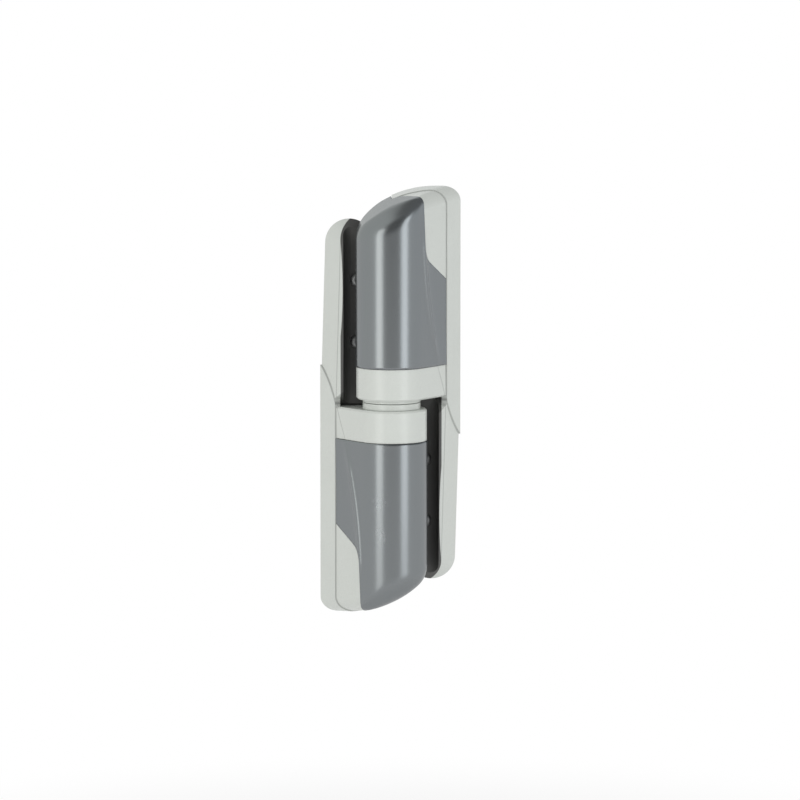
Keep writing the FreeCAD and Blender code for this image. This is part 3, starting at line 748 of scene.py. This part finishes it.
def cover_mesh(name, outside, inside, turned):
    """Join both sides of the cover by a strip along the edges that only one face has.

    The end's first row is the wall's last one. The door leaf's cover is turned half round Y.
    """
    wall, end = outside
    wall_grid = np.arange(wall.shape[0] * wall.shape[1]).reshape(wall.shape[:2])
    end_grid = wall_grid.size + np.arange(end.shape[0] * end.shape[1]).reshape(end.shape[:2])
    end_grid = np.concatenate([wall_grid[-1:, WING_COLUMNS:], end_grid])
    skin = np.concatenate([strips(wall_grid), strips(end_grid)])
    edges = np.concatenate([skin[:, [0, 1]], skin[:, [1, 2]], skin[:, [2, 3]], skin[:, [3, 0]]])
    _, first, count = np.unique(np.sort(edges, axis=1), axis=0, return_index=True, return_counts=True)
    start, stop = edges[first[count == 1]].T
    points = np.concatenate([grid.reshape(-1, 3) for grid in (*outside, *inside)])
    half = len(points) // 2
    border = np.column_stack([stop, start, start + half, stop + half])
    faces = np.concatenate([skin, skin[:, ::-1] + half, border])
    if turned:
        points = points * (-1, 1, -1)
    mesh = bpy.data.meshes.new(name)
    mesh.from_pydata(points.tolist(), [], faces.tolist())
    mesh.shade_smooth()
    mesh.update()
    return mesh


class HINGE_OT_covers(Operator):
    """Make the dark covers' skins, with their soft domes and creases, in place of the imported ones."""

    bl_idname = "hinge.covers"
    bl_label = "Covers"

    def execute(self, context):
        scene = context.scene
        material = cover_finish(scene.hinge_colours.cover)
        outside, inside = cover_grids(scene.hinge_cover)
        for side, body in BODY.items():
            mesh = cover_mesh(f"{side}_cover_skin", outside, inside, side == "door")
            mesh.materials.append(material)
            piece = bpy.data.objects.new(f"{side}_cover_skin", mesh)
            scene.collection.objects.link(piece)
            join_points(piece, SKIN_JOIN)
            even_shading(piece)
            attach(piece, body)
            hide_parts(f"{side}_cover")
        return {"FINISHED"}


class HINGE_OT_liners(Operator):
    """Finish the dark liners of the thin halves."""

    bl_idname = "hinge.liners"
    bl_label = "Liners"

    def execute(self, context):
        scene = context.scene
        material = liner_finish(scene.hinge_colours.liner)
        for side in BODY:
            dress(f"{side}_plate", material, scene.hinge_sizes.small_edge)
        return {"FINISHED"}


def screw_rows(radius, sizes, seat, end):
    """Rings of a domed screw along its axis: (radius, share of hexagon, depth), from shank end to socket.

    The dome is a quarter ellipse from the rim to the crown, and the socket drops straight in from it.
    """
    turn = np.linspace(0.0, 1.0, HEAD_RINGS)
    crown = np.arccos(CROWN_SHARE * sizes.socket_radius / radius)
    dome_radius = radius * np.cos(turn * crown)
    rise = (sizes.head_height - sizes.head_rim) / np.sin(crown)
    dome_depth = seat - sizes.head_rim - rise * np.sin(turn * crown)
    shank = sizes.shank_radius
    top = dome_depth[-1]
    socket = np.array([[1, top], [1, top + sizes.socket_depth], [0, top + sizes.socket_depth]])
    ring_radius = np.concatenate([
        [0, shank, shank, radius], dome_radius, socket[:, 0] * sizes.socket_radius])
    ring_depth = np.concatenate([[end, end, seat, seat], dome_depth, socket[:, 1]])
    hexagon = np.concatenate([np.zeros(ring_radius.size - len(socket)), np.ones(len(socket))])
    return ring_radius, hexagon, ring_depth


def turned_mesh(name, centres, ring_radius, hexagon, ring_depth):
    """Turn rings round lines along Y through the centres (x, z) and close both ends at a pole.

    A ring's point is its radius times the cosine and sine of the turn. Where hexagon is 1 the radius is
    the distance to a regular hexagon's side, cos 30 over the cosine of the turn from the side's middle.
    """
    turn = np.linspace(0.0, 2 * np.pi, HEAD_TURNS, endpoint=False)
    sixth = np.pi / 3
    side = np.cos(sixth / 2) / np.cos(np.mod(turn, sixth) - sixth / 2)
    reach = ring_radius[1:-1, None] * (1 + hexagon[1:-1, None] * (side[None, :] - 1))
    depth = np.broadcast_to(ring_depth[1:-1, None], reach.shape)
    rings = np.stack([reach * np.cos(turn), depth, reach * np.sin(turn)], axis=2)
    poles = np.array([[0, ring_depth[0], 0], [0, ring_depth[-1], 0]])
    points = np.concatenate([poles, rings.reshape(-1, 3)])
    grid = len(poles) + np.arange(rings.shape[0] * HEAD_TURNS).reshape(rings.shape[0], HEAD_TURNS)
    onward = np.roll(grid, -1, axis=1)
    quads = np.stack([grid[:-1], grid[1:], onward[1:], onward[:-1]], axis=2).reshape(-1, 4)
    first = np.stack([np.zeros_like(grid[0]), grid[0], onward[0]], axis=1)
    last = np.stack([np.ones_like(grid[0]), onward[-1], grid[-1]], axis=1)
    spots = np.array([[x, 0.0, z] for x, z in centres])
    every = (points[None, :, :] + spots[:, None, :]).reshape(-1, 3)
    shifts = np.arange(len(centres)) * len(points)
    faces = [(block[None] + shifts[:, None, None]).reshape(-1, block.shape[1]).tolist()
             for block in (quads, first, last)]
    mesh = bpy.data.meshes.new(name)
    mesh.from_pydata(every.tolist(), [], faces[0] + faces[1] + faces[2])
    mesh.shade_smooth()
    mesh.set_sharp_from_angle(angle=SHARP_ANGLE)
    mesh.update()
    return mesh


class HINGE_OT_screw_heads(Operator):
    """Turn the domed plate screws with their hexagon sockets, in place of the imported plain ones."""

    bl_idname = "hinge.screw_heads"
    bl_label = "Plate screws"

    def execute(self, context):
        scene = context.scene
        sizes = scene.hinge_sizes
        steel = metal_finish("screw_head_steel", scene.hinge_colours.head, roughness=0.42)
        for side, body in BODY.items():
            node = f"{side}_plate_screws"
            low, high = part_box(node)
            radius = (high.x - low.x) / 2
            middle = (high.x + low.x) / 2
            centres = [(middle, low.z + radius), (middle, high.z - radius)]
            rows = screw_rows(radius, sizes, low.y + sizes.head_height, high.y)
            mesh = turned_mesh(f"{side}_screw_heads", centres, *rows)
            mesh.materials.append(steel)
            piece = bpy.data.objects.new(f"{side}_screw_heads", mesh)
            scene.collection.objects.link(piece)
            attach(piece, body)
            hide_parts(node)
        return {"FINISHED"}


class HINGE_OT_metal(Operator):
    """Finish the hidden screws, inserts and the pin."""

    bl_idname = "hinge.metal"
    bl_label = "Metal"

    def execute(self, context):
        scene = context.scene
        steel = metal_finish("screw_steel", scene.hinge_colours.steel, roughness=0.32)
        ground = metal_finish("pin_steel", scene.hinge_colours.steel, roughness=0.20)
        brass = metal_finish("insert_brass", scene.hinge_colours.brass, roughness=0.30)
        edge = scene.hinge_sizes.small_edge
        for side in BODY:
            dress(f"{side}_base_screws", steel, edge)
            dress(f"{side}_plate_inserts", brass, edge)
        dress("pin_lock_screw", steel, edge)
        dress("hinge_pin", ground, edge)
        return {"FINISHED"}


def studio_world(stage):
    """White to the camera, a soft even fill to matt surfaces, and to gloss a pale room.

    The room that gloss shows is white at the sides and behind the hinge, cooler on the right, and
    darker at the top right and behind the camera.
    """
    world = bpy.data.worlds.new("studio")
    bpy.context.scene.world = world
    world.use_nodes = True
    graph = Graph(world.node_tree)
    graph.tree.nodes.clear()
    way = graph.node("ShaderNodeTexCoord", output="Generated")
    right = graph.part(way, "X")
    behind = graph.steps(graph.part(way, "Y"), *FRONT_FADE)
    up = graph.part(way, "Z") + right * TOP_LEAN
    top = graph.steps(up, *TOP_FADE) * graph.steps(right, *TOP_SIDE)
    level = graph.between(behind * (1.0 - top * TOP_SHADE), low=stage.front_level, high=1.0)
    tint = graph.mix(graph.steps(right, *TINT_FADE), rgba(LEFT_TINT), rgba(RIGHT_TINT))
    fill = graph.node("ShaderNodeBackground", None, {"Color": (1, 1, 1, 1), "Strength": stage.fill})
    room = graph.node("ShaderNodeBackground", None, {"Color": tint, "Strength": level})
    white = graph.node("ShaderNodeBackground", None, {"Color": (1, 1, 1, 1)})
    unseen = graph.blend(graph.ray("Glossy"), fill, room)
    shown = graph.blend(graph.ray("Camera") + graph.ray("Transmission"), unseen, white)
    graph.node("ShaderNodeOutputWorld", None, {"Surface": shown})


def direction(azimuth, elevation):
    """Unit vector from the hinge towards an azimuth (0 is the front, +X at 90 degrees) and elevation."""
    level = math.cos(elevation)
    return Vector((math.sin(azimuth) * level, -math.cos(azimuth) * level, math.sin(elevation)))


def strip_light(name, stage, turn, tint):
    """A tall soft lamp that faces the hinge, turned that far from the camera."""
    lamp = bpy.data.lights.new(name, "AREA")
    lamp.shape = "RECTANGLE"
    lamp.size = stage.strip_width
    lamp.size_y = stage.strip_height
    lamp.energy = stage.strip_watts
    lamp.color = tint
    item = bpy.data.objects.new(name, lamp)
    away = direction(stage.azimuth + turn, 0.0)
    item.location = away * stage.strip_distance
    item.rotation_euler = away.to_track_quat("Z", "Y").to_euler()
    bpy.context.scene.collection.objects.link(item)


def floor_finish(stage):
    """White floor that takes shade near the hinge and glows to plain white, to camera and gloss, beyond."""
    finish = Finish("floor_white")
    finish.set(Base_Color=rgba(FLOOR_WHITE), Roughness=FLOOR_ROUGHNESS)
    flat = finish.node("ShaderNodeVectorMath", {"operation": "MULTIPLY"}, {0: finish.place, 1: (1, 1, 0)})
    gap = finish.node("ShaderNodeVectorMath", {"operation": "LENGTH"}, {0: flat}, "Value")
    clear = finish.steps(gap, SHADOW_CORE * stage.shadow_reach, stage.shadow_reach)
    seen = finish.ray("Camera") + finish.ray("Glossy") + finish.ray("Transmission")
    shade = Wire(finish, finish.shader.outputs[0])
    glow = finish.node("ShaderNodeEmission")
    surface = finish.blend(seen * finish.between(clear, low=FLOOR_GLOW, high=1.0), shade, glow)
    finish.feed(finish.tree.nodes["Material Output"].inputs["Surface"], surface)
    return finish.material


def lay_floor(stage):
    """A wide square floor, level below the hinge."""
    level = CAD_BOX[0].z - stage.floor_drop
    corner = np.array([[-1, -1], [1, -1], [1, 1], [-1, 1]]) * stage.floor_reach
    points = np.column_stack([corner, np.full(4, level)])
    mesh = bpy.data.meshes.new("floor")
    mesh.from_pydata(points.tolist(), [], [(0, 1, 2, 3)])
    mesh.materials.append(floor_finish(stage))
    floor = bpy.data.objects.new("floor", mesh)
    bpy.context.scene.collection.objects.link(floor)


def place_camera(stage):
    """A long lens on the hinge, at the height and turn of the stage."""
    view = direction(stage.azimuth, stage.elevation)
    right = Vector((math.cos(stage.azimuth), math.sin(stage.azimuth), 0))
    up = view.cross(right)
    camera_data = bpy.data.cameras.new("camera")
    camera_data.lens = camera_data.sensor_width * stage.distance / stage.field
    camera = bpy.data.objects.new("camera", camera_data)
    camera.location = right * stage.aside + up * stage.above + view * stage.distance
    camera.rotation_euler = view.to_track_quat("Z", "Y").to_euler()
    bpy.context.scene.collection.objects.link(camera)
    bpy.context.scene.camera = camera


class HINGE_OT_stage(Operator):
    """Set the floor, lamps, world and camera."""

    bl_idname = "hinge.stage"
    bl_label = "Stage"

    def execute(self, context):
        stage = context.scene.hinge_stage
        context.scene.view_settings.view_transform = "Standard"
        studio_world(stage)
        strip_light("left_strip", stage, stage.left_turn, LEFT_LAMP)
        strip_light("right_strip", stage, stage.right_turn, RIGHT_LAMP)
        lay_floor(stage)
        place_camera(stage)
        return {"FINISHED"}


class HINGE_PT_panel(Panel):
    """Sizes, colours and steps of the hinge."""

    bl_idname = "HINGE_PT_panel"
    bl_label = "Hinge"
    bl_space_type = "VIEW_3D"
    bl_region_type = "UI"
    bl_category = "Hinge"

    def draw(self, context):
        for key in GROUPS:
            group = getattr(context.scene, key)
            box = self.layout.box()
            for name in group.__annotations__:
                box.prop(group, name)
        for step in STEPS:
            self.layout.operator(step.bl_idname)


GROUPS = {
    "hinge_colours": HingeColours, "hinge_sizes": HingeSizes, "hinge_cover": HingeCover,
    "hinge_stage": HingeStage}
STEPS = (
    HINGE_OT_casing, HINGE_OT_covers, HINGE_OT_liners, HINGE_OT_screw_heads, HINGE_OT_metal,
    HINGE_OT_stage)


def register():
    """Register the property groups, the operators and the panel."""
    for group in GROUPS.values():
        bpy.utils.register_class(group)
    for name, group in GROUPS.items():
        setattr(bpy.types.Scene, name, PointerProperty(type=group))
    for item in (*STEPS, HINGE_PT_panel):
        bpy.utils.register_class(item)


def unregister():
    """Take the classes and the scene's properties away again."""
    for item in reversed((*STEPS, HINGE_PT_panel)):
        bpy.utils.unregister_class(item)
    for name in GROUPS:
        delattr(bpy.types.Scene, name)
    for group in GROUPS.values():
        bpy.utils.unregister_class(group)


def main():
    """Run every step."""
    register()
    for step in STEPS:
        family, name = step.bl_idname.split(".")
        getattr(getattr(bpy.ops, family), name)()


if __name__ == "__main__":
    main()
